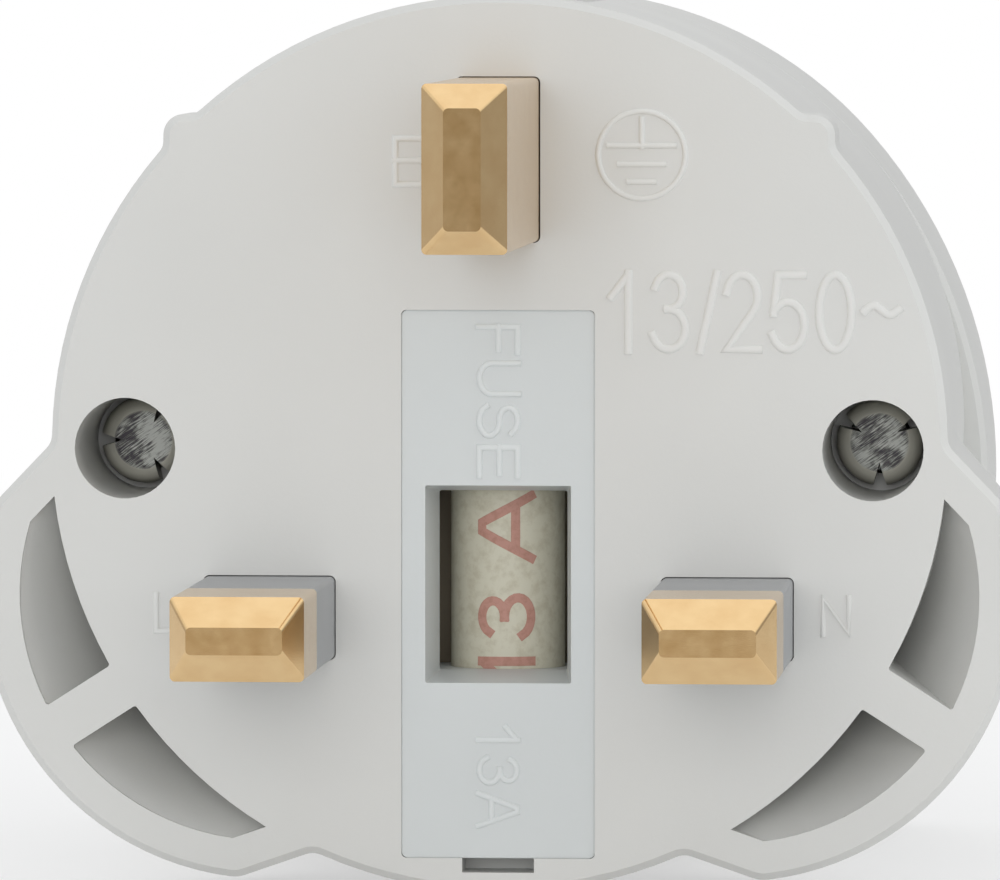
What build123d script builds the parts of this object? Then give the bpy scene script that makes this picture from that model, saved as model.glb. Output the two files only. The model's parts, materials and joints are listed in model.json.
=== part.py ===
from build123d import *
import os
from math import asin, cos, degrees, radians, sin, sqrt

# Fused travel adapter: a British three-pin plug on one face, a recessed two-pin earthed socket on the
# other and one USB port on top. Millimetres. The origin is on the barrel's axis, on the pin face.
# +X runs towards the neutral pin, +Y from the pin face to the socket face, +Z up to the earth pin.

# Barrel and its two shells
BARREL_WALL = 2.0
BARREL_LOW_MARGIN = 1.75
BARREL_TOP_MARGIN = 3.95
FACE_WALL = 2.6
SHELL_FIT = 0.2
FACE_EDGE = 0.35
NEAR = 0.05

# Ears that keep the pins clear of the edge, with two tapered pockets in each
EAR_ANGLE = 212.7
EAR_REACH = 5.6
EAR_R = 13.85
EAR_HALF_WIDTH = 11.8
EAR_FLANK_DRAFT = 13.6
EAR_CORNER_R = 1.6
EAR_ROOT_R = 1.0
EAR_EDGE = 3.0
EAR_BACK = 13.5
EAR_RIM = 1.9
EAR_RIB = 2.3
POCKET_LIP = 0.25
POCKET_DEPTH = 7.5
POCKET_CORNER_R = 0.15

# Grip corners at the upper left and right of the pin face
GRIP_ANGLE = 44.5
GRIP_RISE = 1.09
GRIP_CORNER_R = 1.0
GRIP_ROOT_R = 0.8
GRIP_DEPTH = 6.0
GRIP_RUN_OUT = 2.0

# Plug pins
PIN_SPACING = 22.23
PIN_THICK = 4.0
PIN_CORNER_R = 0.25
LIVE_WIDTH = 6.35
LIVE_LENGTH = 17.7
EARTH_HEIGHT = 7.94
EARTH_LENGTH = 22.73
LIVE_TIP_FLAT = (4.55, 1.3)
EARTH_TIP_FLAT = (1.75, 5.7)
TIP_TAPER = 1.5
SLEEVE_LENGTH = 9.6
SLEEVE_WALL = 0.5
PIN_GAP = 0.05
FOOT_MARGIN = 1.05
FOOT_THICK = 2.0
FOOT_GAP = 0.2
EARTH_FOOT_GAP = 1.06
STEM_R = 1.6
STEM_GAP = 0.05

# Fuse, its carrier and the well that takes it
FUSE_LENGTH = 25.4
FUSE_CAP_R = 3.15
FUSE_CAP_LENGTH = 5.6
FUSE_CAP_WALL = 0.4
FUSE_TUBE_R = 2.8
FUSE_FIT = 0.03
FUSE_CAP_EDGE = 0.2
FUSE_DEPTH = 6.9
CARRIER_WIDTH = 9.3
CARRIER_END_GAP = 0.15
CARRIER_PLATE = 2.4
CARRIER_SET_BACK = 0.1
CARRIER_GAP = 0.05
CARRIER_CORNER_R = 0.25
WINDOW_WIDTH = 6.25
WINDOW_HEIGHT = 8.75
WINDOW_FLARE = 0.42
WINDOW_DEPTH = 3.7
WINDOW_CORNER_R = 0.1
WINDOW_CHEEK = 0.75
JAW_GRIP = 0.06
JAW_END_GAP = 0.35
JAW_PAST_AXIS = 1.9
CARRIER_END_WALL = 0.4
WELL_WALL = 1.2
PRY_WIDTH = 3.5
PRY_HEIGHT = 0.7
PRY_DEPTH = 2.6

# Stamped current parts
STRIP = 0.6
CLIP_WIDTH = 4.0
CLIP_GAP = 0.15
CLIP_ARM = 5.6
STRAP_END_R = 2.7
TAIL_WIDTH = 2.6
STRAP_NOTCH_GAP = 0.2
BOARD_THICK = 1.8
BOARD_TOP = 4.3
BOARD_FIT = 0.25

# Socket side
SOCKET_WALL = 2.15
RECESS_DEPTH = 17.5
FLOOR_WALL = 2.0
SOCKET_SPACING = 19.0
CONTACT_HOLE_R = 2.6
RIM_R = 1.2
MOUTH_BEVEL = 0.7
FLANGE_BLEND_ANGLE = 41.0
FLANGE_BULGE = 4.85
FLANGE_CORNER_R = 10.0
FLANGE_STEP_BEVEL = 0.3
GUIDE_WIDTH = 3.6
GUIDE_REACH = 1.6
GUIDE_SET_BACK = 3.0
GUIDE_LEAD = 1.0
TULIP_PIN_R = 2.45
TULIP_WIDTH = 5.2
TULIP_LENGTH = 10.49
TULIP_END_GAP = 1.1
TULIP_FLARE = 0.5
TULIP_FLARE_LENGTH = 1.6

# Earth bracket with its two sprung lips
EARTH_STRIP = 0.8
EARTH_WIDTH = 6.0
EARTH_LEG_INSET = 0.55
EARTH_LIP_REACH = 2.0
EARTH_LIP_START = 3.5
EARTH_LIP_PEAK = 9.5
EARTH_LIP_END = 14.2
EARTH_SLOT_GAP = 0.25
EARTH_BRIDGE_GAP = 0.3
LINK_X = -6.6

# Safety shutter behind the contact holes
SHUTTER_THICK = 2.5
SHUTTER_GAP = 0.2
SHUTTER_HALF_HEIGHT = 3.3
SHUTTER_MARGIN = 0.9
SHUTTER_TRAVEL = 6.0
SHUTTER_RAMP_REST = 0.8
RAIL_WALL = 1.2
RAIL_LIP = 0.9
RAIL_LIP_THICK = 0.45
SPRING_R = 0.85
SPRING_WIRE_R = 0.22
SPRING_WIRE_SIDES = 6
SPRING_TURNS = 7
SPRING_LENGTH = 12.5
SPRING_SEAT_GAP = 0.1
STOP_WIDTH = 4.0
STOP_THICK = 1.2

# Case screws with three-notch heads
SCREW_INSET = 3.6
SCREW_Z = -0.2
SCREW_WELL_R = 2.45
SCREW_HEAD_DEPTH = 8.5
SCREW_HEAD_R = 2.15
SCREW_HEAD_HEIGHT = 1.9
SCREW_SHOULDER_R = 0.85
SCREW_NOTCHES = 3
SCREW_NOTCH_DEPTH = 1.15
SCREW_NOTCH_SLOPE = 0.3
SCREW_TURN_LEFT = 180.0
SCREW_TURN_RIGHT = 150.0
SCREW_SHANK_R = 1.4
SCREW_HOLE_R = 1.6
SCREW_PILOT_GAP = 0.05
SCREW_LENGTH = 12.6
BOSS_WALL = 1.1
BOSS_FLOOR = 2.0
POST_R = 3.0
POST_GAP = 0.1
PRESS_POST_R = 1.8
PRESS_POST_X = 6.6
PRESS_POST_Z = -13.6

# USB supply: board, port and main components
USB_WIDTH = 13.1
USB_THICK = 5.7
USB_LENGTH = 12.4
USB_SHEET = 0.35
USB_LINK_GAP = 0.25
USB_SET_BACK = 0.75
USB_PORT_GAP = 0.25
USB_BEZEL = 0.8
USB_BEZEL_DEPTH = 0.5
TONGUE_WIDTH = 11.1
TONGUE_THICK = 1.84
TONGUE_SET_BACK = 2.0
TONGUE_BACK = 3.4
TONGUE_OFFSET = 0.55
TONGUE_SIDE_GAP = 0.35
CONTACT_COUNT = 4
CONTACT_PITCH = 2.5
CONTACT_WIDTH = 1.0
CONTACT_THICK = 0.2
CONTACT_END_GAP = 0.2
USB_BOARD_THICK = 1.2
USB_BOARD_LOW_GAP = 0.35
USB_BOARD_BACK_GAP = 0.1
USB_BOARD_FRONT_GAP = 0.5
USB_BOARD_TOP_GAP = 0.7
COIL_WIDTH = 6.4
COIL_HEIGHT = 7.5
COIL_LENGTH = 9.0
COIL_CORE_WALL = 1.5
COIL_END_GAP = 0.9
COIL_FIT = 0.05
COIL_RISE = 0.75
CAPACITOR_R = 2.5
CAPACITOR_LENGTH = 8.0
CAPACITOR_EDGE = 0.5
CAPACITOR_GAP = 1.1
CHIP_SIZE = 3.2
CHIP_THICK = 1.4

# Places worked out from the sizes above
CARRIER_HEIGHT = FUSE_LENGTH + 2 * (CARRIER_END_WALL + CARRIER_END_GAP)
EARTH_LOW_MARGIN = CARRIER_GAP + WELL_WALL + EARTH_FOOT_GAP + FOOT_MARGIN
FACE_STACK = CARRIER_HEIGHT + EARTH_LOW_MARGIN + EARTH_HEIGHT
BARREL_R = (BARREL_LOW_MARGIN + FACE_STACK + BARREL_TOP_MARGIN) / 2
CARRIER_Z = BARREL_LOW_MARGIN + CARRIER_HEIGHT / 2 - BARREL_R
EARTH_Z = BARREL_R - BARREL_TOP_MARGIN - EARTH_HEIGHT / 2
PIN_ROW_Z = EARTH_Z - PIN_SPACING
LIVE_X = PIN_SPACING / 2
INNER_R = BARREL_R - BARREL_WALL
SPIGOT_R = INNER_R - SHELL_FIT
EAR_OFFSET = BARREL_R + EAR_REACH - EAR_R
GRIP_HALF_WIDTH = (BARREL_R + GRIP_RISE) * cos(radians(GRIP_ANGLE))
GRIP_HEIGHT = (BARREL_R + GRIP_RISE) * sin(radians(GRIP_ANGLE))
SCREW_X = BARREL_R - SCREW_INSET
RECESS_R = BARREL_R - SOCKET_WALL
FLANGE_SIDE_R = BARREL_R + FLANGE_BULGE
SOCKET_X = SOCKET_SPACING / 2
STRAP_Y1 = FUSE_DEPTH + FUSE_CAP_R + JAW_GRIP + STRIP
STRAP_Y0 = STRAP_Y1 - STRIP
WELL_WIDTH = CARRIER_WIDTH + 2 * CARRIER_GAP
WELL_HEIGHT = CARRIER_HEIGHT + 2 * CARRIER_GAP
WELL_TOP = CARRIER_Z + WELL_HEIGHT / 2 + WELL_WALL
FUSE_TOP = CARRIER_Z + FUSE_LENGTH / 2
FUSE_LOW = CARRIER_Z - FUSE_LENGTH / 2
CLIP_HIGH_Z = FUSE_TOP - FUSE_CAP_LENGTH / 2
CLIP_LOW_Z = FUSE_LOW + FUSE_CAP_LENGTH / 2
SCREW_SEAT_Y = SCREW_HEAD_DEPTH + SCREW_HEAD_HEIGHT
BOSS_END = SCREW_SEAT_Y + BOSS_FLOOR
TULIP_Y1 = STRAP_Y1 + TULIP_LENGTH
SHUTTER_Y0 = TULIP_Y1 + TULIP_END_GAP
SHUTTER_Y1 = SHUTTER_Y0 + SHUTTER_THICK
FLOOR_BACK = SHUTTER_Y1 + SHUTTER_GAP
SEAM_Y = FLOOR_BACK + FLOOR_WALL
BODY_LENGTH = SEAM_Y + RECESS_DEPTH
SHUTTER_HALF_WIDTH = SOCKET_X + CONTACT_HOLE_R + SHUTTER_MARGIN
BRIDGE_Y1 = SHUTTER_Y0 - EARTH_BRIDGE_GAP
BRIDGE_Y0 = BRIDGE_Y1 - EARTH_STRIP
LEG_Z1 = SPIGOT_R - EARTH_LEG_INSET
LEG_Z0 = LEG_Z1 - EARTH_STRIP
LINK_Y0 = FACE_WALL + FOOT_THICK
USB_Y = BRIDGE_Y0 - EARTH_STRIP - USB_LINK_GAP - USB_WIDTH / 2
USB_TOP = BARREL_R - USB_SET_BACK
USB_LOW = USB_TOP - USB_LENGTH
BOARD_X = USB_THICK / 2
BOARD_LOW = WELL_TOP + USB_BOARD_LOW_GAP
BOARD_Y0 = LINK_Y0 + USB_BOARD_FRONT_GAP
BOARD_Y1 = BRIDGE_Y0 - USB_BOARD_BACK_GAP
USB_BOARD_TOP = sqrt(INNER_R**2 - (BOARD_X + USB_BOARD_THICK) ** 2) - USB_BOARD_TOP_GAP


def facing(depth):
    """The plane across the barrel at a depth behind the pin face, drawn in X and Z."""
    return Plane(origin=(0, depth, 0), x_dir=(1, 0, 0), z_dir=(0, -1, 0))


def slab(profile, y0, y1):
    """A profile drawn in X and Z, filled between two depths."""
    return extrude(facing(y1) * profile, amount=y1 - y0)


def block(x0, x1, y0, y1, z0, z1):
    """A plain block between two corners."""
    middle = Pos((x0 + x1) / 2, (y0 + y1) / 2, (z0 + z1) / 2)
    return middle * Box(x1 - x0, y1 - y0, z1 - z0)


def turned(points):
    """A solid of revolution about the barrel's axis, from (radius, depth) points."""
    return revolve(make_face(Polyline(*points, close=True)), axis=Axis.Y)


def rectangle(x, z, width, height, corner=0.0):
    """A rectangle drawn in X and Z, with rounded corners if asked for."""
    shape = RectangleRounded(width, height, corner) if corner else Rectangle(width, height)
    return Pos(x, z) * shape


def disc(x, z, radius):
    """A circle drawn in X and Z."""
    return Pos(x, z) * Circle(radius)


def both_sides(shape):
    """A shape together with its mirror image across the X = 0 plane."""
    return shape + mirror(shape, about=Plane.YZ)


def ear_profile(inset=0.0):
    """One ear at its angle: a round end between two drafted flanks, drawn in X and Z."""
    reach = EAR_OFFSET + EAR_R
    root = sqrt(BARREL_R**2 - EAR_HALF_WIDTH**2)
    slope = sin(radians(EAR_FLANK_DRAFT)) / cos(radians(EAR_FLANK_DRAFT))
    near = EAR_HALF_WIDTH + slope * root
    far = EAR_HALF_WIDTH - slope * (reach - root)
    flanks = make_face(Polyline((0, near), (reach, far), (reach, -far), (0, -near), close=True))
    ear = flanks & Pos(EAR_OFFSET, 0) * Circle(EAR_R)
    tips = [v for v in ear.vertices() if v.X > root]
    ear = fillet(tips, EAR_CORNER_R)
    if inset:
        ear = offset(ear, -inset)
    return Rot(0, 0, EAR_ANGLE) * ear


def face_outline():
    """The barrel's circle with both ears, hollow corners rounded."""
    ear = ear_profile()
    outline = Circle(BARREL_R) + ear + mirror(ear, about=Plane.YZ)
    roots = [v for v in outline.vertices() if abs(sqrt(v.X**2 + v.Y**2) - BARREL_R) < NEAR]
    return fillet(roots, EAR_ROOT_R)


def grip_outline():
    """The barrel's circle with the two square grip corners."""
    corner = rectangle(0, 0, 2 * GRIP_HALF_WIDTH, 2 * GRIP_HEIGHT)
    tips = [v for v in corner.vertices() if v.Y > 0]
    corner = fillet(tips, GRIP_CORNER_R)
    upper = rectangle(0, GRIP_HEIGHT, 2 * GRIP_HALF_WIDTH, GRIP_HEIGHT)
    outline = Circle(BARREL_R) + (corner & upper)
    roots = [v for v in outline.vertices() if abs(sqrt(v.X**2 + v.Y**2) - BARREL_R) < NEAR]
    return fillet(roots, GRIP_ROOT_R)


def ear_pockets():
    """The two tapered pockets in each ear, either side of its rib."""
    reach = EAR_OFFSET + EAR_R - EAR_RIM
    rib = Rot(0, 0, EAR_ANGLE) * Pos(reach / 2, 0) * Rectangle(2 * reach, EAR_RIB)
    crescent = ear_profile(EAR_RIM) - Circle(BARREL_R) - rib
    along = Rot(0, 0, -EAR_ANGLE) * crescent
    corners = [v for v in along.vertices() if abs(abs(v.Y) - EAR_RIB / 2) < NEAR]
    crescent = Rot(0, 0, EAR_ANGLE) * fillet(corners, POCKET_CORNER_R)
    mouth = EAR_R - EAR_RIM + NEAR
    taper = turned(
        [
            (0, -POCKET_LIP),
            (mouth, -POCKET_LIP),
            (mouth, POCKET_LIP),
            (BARREL_R - EAR_OFFSET, POCKET_DEPTH),
            (0, POCKET_DEPTH),
        ]
    )
    middle = Rot(0, -EAR_ANGLE, 0) * Pos(EAR_OFFSET, 0, 0)
    return both_sides(slab(crescent, -POCKET_LIP, POCKET_DEPTH) & middle * taper)


def screw_sites():
    """The places of the two case screws, drawn in X and Z."""
    return [(-SCREW_X, SCREW_Z), (SCREW_X, SCREW_Z)]


def pin_shell():
    """The pin-side shell: face, barrel, ears, fuse well, screw bosses and the USB opening."""
    reach = EAR_OFFSET + EAR_R + EAR_ROOT_R
    ear_back = turned(
        [(0, 0), (reach, 0), (reach, EAR_EDGE), (BARREL_R - EAR_ROOT_R, EAR_BACK), (0, EAR_BACK)]
    )
    grip_back = turned(
        [
            (0, 0),
            (BARREL_R + GRIP_RUN_OUT, 0),
            (BARREL_R + GRIP_RUN_OUT, GRIP_DEPTH - GRIP_RUN_OUT),
            (BARREL_R - GRIP_ROOT_R, GRIP_DEPTH),
            (0, GRIP_DEPTH),
        ]
    )
    shell = slab(face_outline(), 0, EAR_BACK) & ear_back
    shell += slab(grip_outline(), 0, GRIP_DEPTH) & grip_back
    rim = [e for e in shell.edges() if e.center().Y < NEAR]
    shell = chamfer(rim, FACE_EDGE)
    shell += slab(Circle(BARREL_R), FACE_EDGE, SEAM_Y)
    shell -= slab(Circle(INNER_R), FACE_WALL, SEAM_Y)

    inside = slab(Circle(BARREL_R - FACE_EDGE), 0, SEAM_Y)
    well = rectangle(0, CARRIER_Z, WELL_WIDTH + 2 * WELL_WALL, WELL_HEIGHT + 2 * WELL_WALL)
    shell += slab(well, FACE_EDGE, STRAP_Y1) & inside
    for x, z in screw_sites():
        shell += slab(disc(x, z, SCREW_WELL_R + BOSS_WALL), FACE_EDGE, BOSS_END) & inside
        shell -= slab(disc(x, z, SCREW_WELL_R), 0, SCREW_SEAT_Y)
        shell -= slab(disc(x, z, SCREW_HOLE_R), SCREW_SEAT_Y, BOSS_END)

    shell -= slab(rectangle(0, CARRIER_Z, WELL_WIDTH, WELL_HEIGHT, CARRIER_CORNER_R), 0, STRAP_Y1)
    pry_z = CARRIER_Z - WELL_HEIGHT / 2
    shell -= slab(rectangle(0, pry_z, PRY_WIDTH, 2 * PRY_HEIGHT), 0, PRY_DEPTH)
    for z in (CLIP_HIGH_Z, CLIP_LOW_Z):
        notch = CLIP_WIDTH / 2 + STRAP_NOTCH_GAP
        edge = -WELL_WIDTH / 2 - WELL_WALL
        shell -= block(edge, 0, STRAP_Y0 - STRAP_NOTCH_GAP, STRAP_Y1, z - notch, z + notch)
    hole_corner = PIN_CORNER_R + PIN_GAP
    for x in (-LIVE_X, LIVE_X):
        hole = rectangle(x, PIN_ROW_Z, LIVE_WIDTH + 2 * PIN_GAP, PIN_THICK + 2 * PIN_GAP, hole_corner)
        shell -= slab(hole, 0, FACE_WALL)
    hole = rectangle(0, EARTH_Z, PIN_THICK + 2 * PIN_GAP, EARTH_HEIGHT + 2 * PIN_GAP, hole_corner)
    shell -= slab(hole, 0, FACE_WALL)
    shell -= ear_pockets()

    half_x = USB_THICK / 2 + USB_PORT_GAP
    half_y = USB_WIDTH / 2 + USB_PORT_GAP
    shell -= block(-half_x, half_x, USB_Y - half_y, USB_Y + half_y, INNER_R / 2, 2 * BARREL_R)
    half_x += USB_BEZEL
    half_y += USB_BEZEL
    low = sqrt(BARREL_R**2 - half_x**2) - USB_BEZEL_DEPTH
    shell -= block(-half_x, half_x, USB_Y - half_y, USB_Y + half_y, low, 2 * BARREL_R)
    return shell


def flange_outline():
    """The socket side's outline: the barrel's circle on top, fuller sides and a flat foot."""
    bulge = FLANGE_SIDE_R - BARREL_R
    side_x = -bulge * cos(radians(FLANGE_BLEND_ANGLE))
    side_z = -bulge * sin(radians(FLANGE_BLEND_ANGLE))
    corner_z = FLANGE_CORNER_R - BARREL_R
    inner = FLANGE_SIDE_R - FLANGE_CORNER_R
    corner_x = side_x + sqrt(inner**2 - (corner_z - side_z) ** 2)
    turn = degrees(asin((side_z - corner_z) / inner))
    sweep = FLANGE_BLEND_ANGLE + turn
    top = CenterArc((0, 0), BARREL_R, FLANGE_BLEND_ANGLE, 180 - 2 * FLANGE_BLEND_ANGLE)
    right = CenterArc((side_x, side_z), FLANGE_SIDE_R, -turn, sweep)
    left = CenterArc((-side_x, side_z), FLANGE_SIDE_R, 180 - FLANGE_BLEND_ANGLE, sweep)
    right_corner = CenterArc((corner_x, corner_z), FLANGE_CORNER_R, -90, 90 - turn)
    left_corner = CenterArc((-corner_x, corner_z), FLANGE_CORNER_R, 180 + turn, 90 - turn)
    foot = Line((-corner_x, -BARREL_R), (corner_x, -BARREL_R))
    return make_face(top + right + left + right_corner + left_corner + foot)


def socket_shell():
    """The socket-side shell: flange, plug recess, contact holes, screw posts and shutter guides."""
    shell = slab(flange_outline(), SEAM_Y, BODY_LENGTH)
    shell = fillet([e for e in shell.edges() if e.center().Y > BODY_LENGTH - FACE_EDGE], RIM_R)
    seam = [e for e in shell.edges() if e.center().Y < SEAM_Y + NEAR]
    shell = chamfer(seam, FLANGE_STEP_BEVEL)
    shell += slab(Circle(SPIGOT_R), FLOOR_BACK, SEAM_Y + FLOOR_WALL)
    mouth = RECESS_R + MOUTH_BEVEL
    shell -= turned(
        [
            (0, SEAM_Y),
            (RECESS_R, SEAM_Y),
            (RECESS_R, BODY_LENGTH - MOUTH_BEVEL),
            (mouth, BODY_LENGTH),
            (mouth, BODY_LENGTH + MOUTH_BEVEL),
            (0, BODY_LENGTH + MOUTH_BEVEL),
        ]
    )
    rib = block(
        RECESS_R - GUIDE_REACH, RECESS_R + BARREL_WALL / 2,
        SEAM_Y, BODY_LENGTH - GUIDE_SET_BACK, -GUIDE_WIDTH / 2, GUIDE_WIDTH / 2,
    )
    lead = rib.edges().filter_by(Axis.Z).group_by(Axis.Y)[-1].sort_by(Axis.X)[0]
    shell += both_sides(chamfer(lead, GUIDE_LEAD))

    for x, z in screw_sites():
        post = slab(disc(x, z, POST_R), BOSS_END + POST_GAP, FLOOR_BACK)
        shell += post & slab(Circle(SPIGOT_R), 0, FLOOR_BACK)
        pilot = disc(x, z, SCREW_SHANK_R + SCREW_PILOT_GAP)
        shell -= slab(pilot, BOSS_END, SCREW_SEAT_Y + SCREW_LENGTH + POST_GAP)
    press = disc(PRESS_POST_X, PRESS_POST_Z, PRESS_POST_R)
    shell += both_sides(slab(press, STRAP_Y1 + BOARD_THICK + POST_GAP, FLOOR_BACK))

    rail_x = SHUTTER_HALF_WIDTH + SHUTTER_GAP
    rail_low = -SHUTTER_HALF_HEIGHT - SHUTTER_TRAVEL - SHUTTER_GAP
    rail_high = SHUTTER_HALF_HEIGHT + SHUTTER_GAP
    lip_y = SHUTTER_Y0 - SHUTTER_GAP
    rail = block(rail_x, rail_x + RAIL_WALL, lip_y - RAIL_LIP_THICK, FLOOR_BACK, rail_low, rail_high)
    rail += block(rail_x - RAIL_LIP, rail_x, lip_y - RAIL_LIP_THICK, lip_y, rail_low, rail_high)
    rail += block(
        rail_x - STOP_WIDTH, rail_x + RAIL_WALL, SHUTTER_Y0, FLOOR_BACK, rail_high, rail_high + STOP_THICK
    )
    shell += both_sides(rail)
    spring_foot = -SHUTTER_HALF_HEIGHT - SPRING_LENGTH - 2 * SPRING_SEAT_GAP
    half = STOP_WIDTH / 2
    shell += block(-half, half, SHUTTER_Y0, FLOOR_BACK, spring_foot - STOP_THICK, spring_foot)

    for x in (-SOCKET_X, SOCKET_X):
        shell -= slab(disc(x, 0, CONTACT_HOLE_R), FLOOR_BACK, SEAM_Y)
    slot_x = EARTH_WIDTH / 2 + EARTH_SLOT_GAP
    for side in (-1, 1):
        near = side * (LEG_Z0 - EARTH_SLOT_GAP)
        far = side * (LEG_Z1 + EARTH_SLOT_GAP)
        shell -= block(-slot_x, slot_x, FLOOR_BACK, SEAM_Y, min(near, far), max(near, far))
    return shell


def pin_bar(width, height, y0, y1, corner=PIN_CORNER_R):
    """A straight length of pin with softened edges, on the barrel's axis."""
    return slab(RectangleRounded(width, height, corner), y0, y1)


def pin_tip(width, height, flat, length):
    """The tapered end of a pin, on the barrel's axis."""
    root = facing(TIP_TAPER - length) * RectangleRounded(width, height, PIN_CORNER_R)
    end = facing(-length) * RectangleRounded(*flat, PIN_CORNER_R)
    return loft([root, end])


def at_pin(shape, side):
    """A line (-1) or neutral (1) pin's piece at its place."""
    return Pos(side * LIVE_X, 0, PIN_ROW_Z) * shape


def pin_foot(x, z, width, height):
    """The foot behind the face that holds a pin, kept clear of the barrel and the fuse well."""
    foot = rectangle(x, z, width + 2 * FOOT_MARGIN, height + 2 * FOOT_MARGIN)
    wall = WELL_WALL + FOOT_GAP
    well = rectangle(0, CARRIER_Z, WELL_WIDTH + 2 * wall, WELL_HEIGHT + 2 * wall)
    return slab((foot & Circle(INNER_R - FOOT_GAP)) - well, FACE_WALL, FACE_WALL + FOOT_THICK)


def live_pin(side):
    """A line or neutral pin: bare tip, neck under the sleeve, foot and riveted stem."""
    neck = (LIVE_WIDTH - 2 * SLEEVE_WALL, PIN_THICK - 2 * SLEEVE_WALL)
    pin = pin_tip(LIVE_WIDTH, PIN_THICK, LIVE_TIP_FLAT, LIVE_LENGTH)
    pin += pin_bar(LIVE_WIDTH, PIN_THICK, TIP_TAPER - LIVE_LENGTH, -SLEEVE_LENGTH)
    pin += pin_bar(*neck, -SLEEVE_LENGTH, FACE_WALL)
    pin = at_pin(pin, side) + pin_foot(side * LIVE_X, PIN_ROW_Z, LIVE_WIDTH, PIN_THICK)
    return pin + at_pin(slab(Circle(STEM_R), FACE_WALL + FOOT_THICK, STRAP_Y1), side)


def pin_sleeve():
    """The insulating sleeve over the root half of a line or neutral pin."""
    neck = (LIVE_WIDTH - 2 * SLEEVE_WALL, PIN_THICK - 2 * SLEEVE_WALL)
    sleeve = pin_bar(LIVE_WIDTH, PIN_THICK, -SLEEVE_LENGTH, FACE_WALL)
    return sleeve - pin_bar(*neck, -SLEEVE_LENGTH, FACE_WALL)


def earth_pin():
    """The bare earth pin with its foot and riveted stem."""
    pin = pin_tip(PIN_THICK, EARTH_HEIGHT, EARTH_TIP_FLAT, EARTH_LENGTH)
    pin += pin_bar(PIN_THICK, EARTH_HEIGHT, TIP_TAPER - EARTH_LENGTH, FACE_WALL)
    pin = Pos(0, 0, EARTH_Z) * pin + pin_foot(0, EARTH_Z, PIN_THICK, EARTH_HEIGHT)
    return pin + Pos(0, 0, EARTH_Z) * slab(Circle(STEM_R), LINK_Y0, LINK_Y0 + EARTH_STRIP)


def fuse_carrier():
    """The push-in carrier: tapered window, jaws that grip the fuse above and below it, thin end walls."""
    outline = rectangle(0, CARRIER_Z, CARRIER_WIDTH, CARRIER_HEIGHT, CARRIER_CORNER_R)
    plate = slab(outline, CARRIER_SET_BACK, CARRIER_PLATE)
    jaw_high = FUSE_TOP - FUSE_CAP_LENGTH - JAW_END_GAP
    jaw_low = FUSE_LOW + FUSE_CAP_LENGTH + JAW_END_GAP
    outer = CARRIER_WIDTH / 2
    jaws = block(-outer, outer, CARRIER_PLATE, FUSE_DEPTH + JAW_PAST_AXIS, jaw_low, jaw_high)
    opening = Pos(0, FUSE_DEPTH, CARRIER_Z) * Cylinder(FUSE_TUBE_R + JAW_GRIP, CARRIER_HEIGHT)
    mouth = sqrt(FUSE_TUBE_R**2 - JAW_PAST_AXIS**2) + JAW_GRIP
    opening += block(-mouth, mouth, FUSE_DEPTH, STRAP_Y1, jaw_low, jaw_high)
    carrier = plate + (jaws - opening)
    half = outer - CARRIER_CORNER_R
    end = (CARRIER_HEIGHT - CARRIER_END_WALL) / 2
    for z in (CARRIER_Z - end, CARRIER_Z + end):
        z0 = z - CARRIER_END_WALL / 2
        carrier += block(-half, half, CARRIER_PLATE, FUSE_DEPTH, z0, z0 + CARRIER_END_WALL)
    relief = outer - WINDOW_CHEEK
    window_low = CARRIER_Z - WINDOW_HEIGHT / 2
    carrier -= block(-relief, relief, WINDOW_DEPTH, STRAP_Y1, window_low, window_low + WINDOW_HEIGHT)
    back = facing(WINDOW_DEPTH) * rectangle(0, CARRIER_Z, WINDOW_WIDTH, WINDOW_HEIGHT, WINDOW_CORNER_R)
    wide = WINDOW_WIDTH + 2 * WINDOW_FLARE
    tall = WINDOW_HEIGHT + 2 * WINDOW_FLARE
    face = facing(CARRIER_SET_BACK) * rectangle(0, CARRIER_Z, wide, tall, WINDOW_CORNER_R)
    return carrier - loft([back, face])


def fuse_tube():
    """The fuse's ceramic tube, filled and sealed."""
    length = FUSE_LENGTH - 2 * FUSE_CAP_WALL - 2 * FUSE_FIT
    return Pos(0, FUSE_DEPTH, CARRIER_Z) * Cylinder(FUSE_TUBE_R, length)


def fuse_caps():
    """The two pressed end caps of the fuse."""
    upper = Cylinder(FUSE_CAP_R, FUSE_CAP_LENGTH)
    bore = Pos(0, 0, -FUSE_CAP_WALL) * Cylinder(FUSE_TUBE_R + FUSE_FIT, FUSE_CAP_LENGTH)
    upper = chamfer((upper - bore).edges().group_by(Axis.Z)[-1], FUSE_CAP_EDGE)
    place = Pos(0, FUSE_DEPTH, CARRIER_Z)
    rise = (FUSE_LENGTH - FUSE_CAP_LENGTH) / 2
    return [place * Pos(0, 0, rise) * upper, place * Pos(0, 0, -rise) * Rot(180, 0, 0) * upper]


def fuse_clip(z):
    """A sprung clip round one fuse cap, open towards the pin face."""
    inner = FUSE_CAP_R + CLIP_GAP
    clip = block(-inner - STRIP, inner + STRIP, STRAP_Y0, STRAP_Y1, z - CLIP_WIDTH / 2, z + CLIP_WIDTH / 2)
    arm = block(inner, inner + STRIP, STRAP_Y1 - CLIP_ARM, STRAP_Y1, z - CLIP_WIDTH / 2, z + CLIP_WIDTH / 2)
    return clip + both_sides(arm)


def strap(start, start_r, end, stem=None):
    """A flat stamped strap that widens to a round end, with a rivet hole round a pin's stem."""
    ends = disc(*start, start_r).edges() + disc(*end, STRAP_END_R).edges()
    shape = make_hull(ends)
    if stem:
        shape -= disc(*stem, STEM_R + STEM_GAP)
    return slab(shape, STRAP_Y0, STRAP_Y1)


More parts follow.
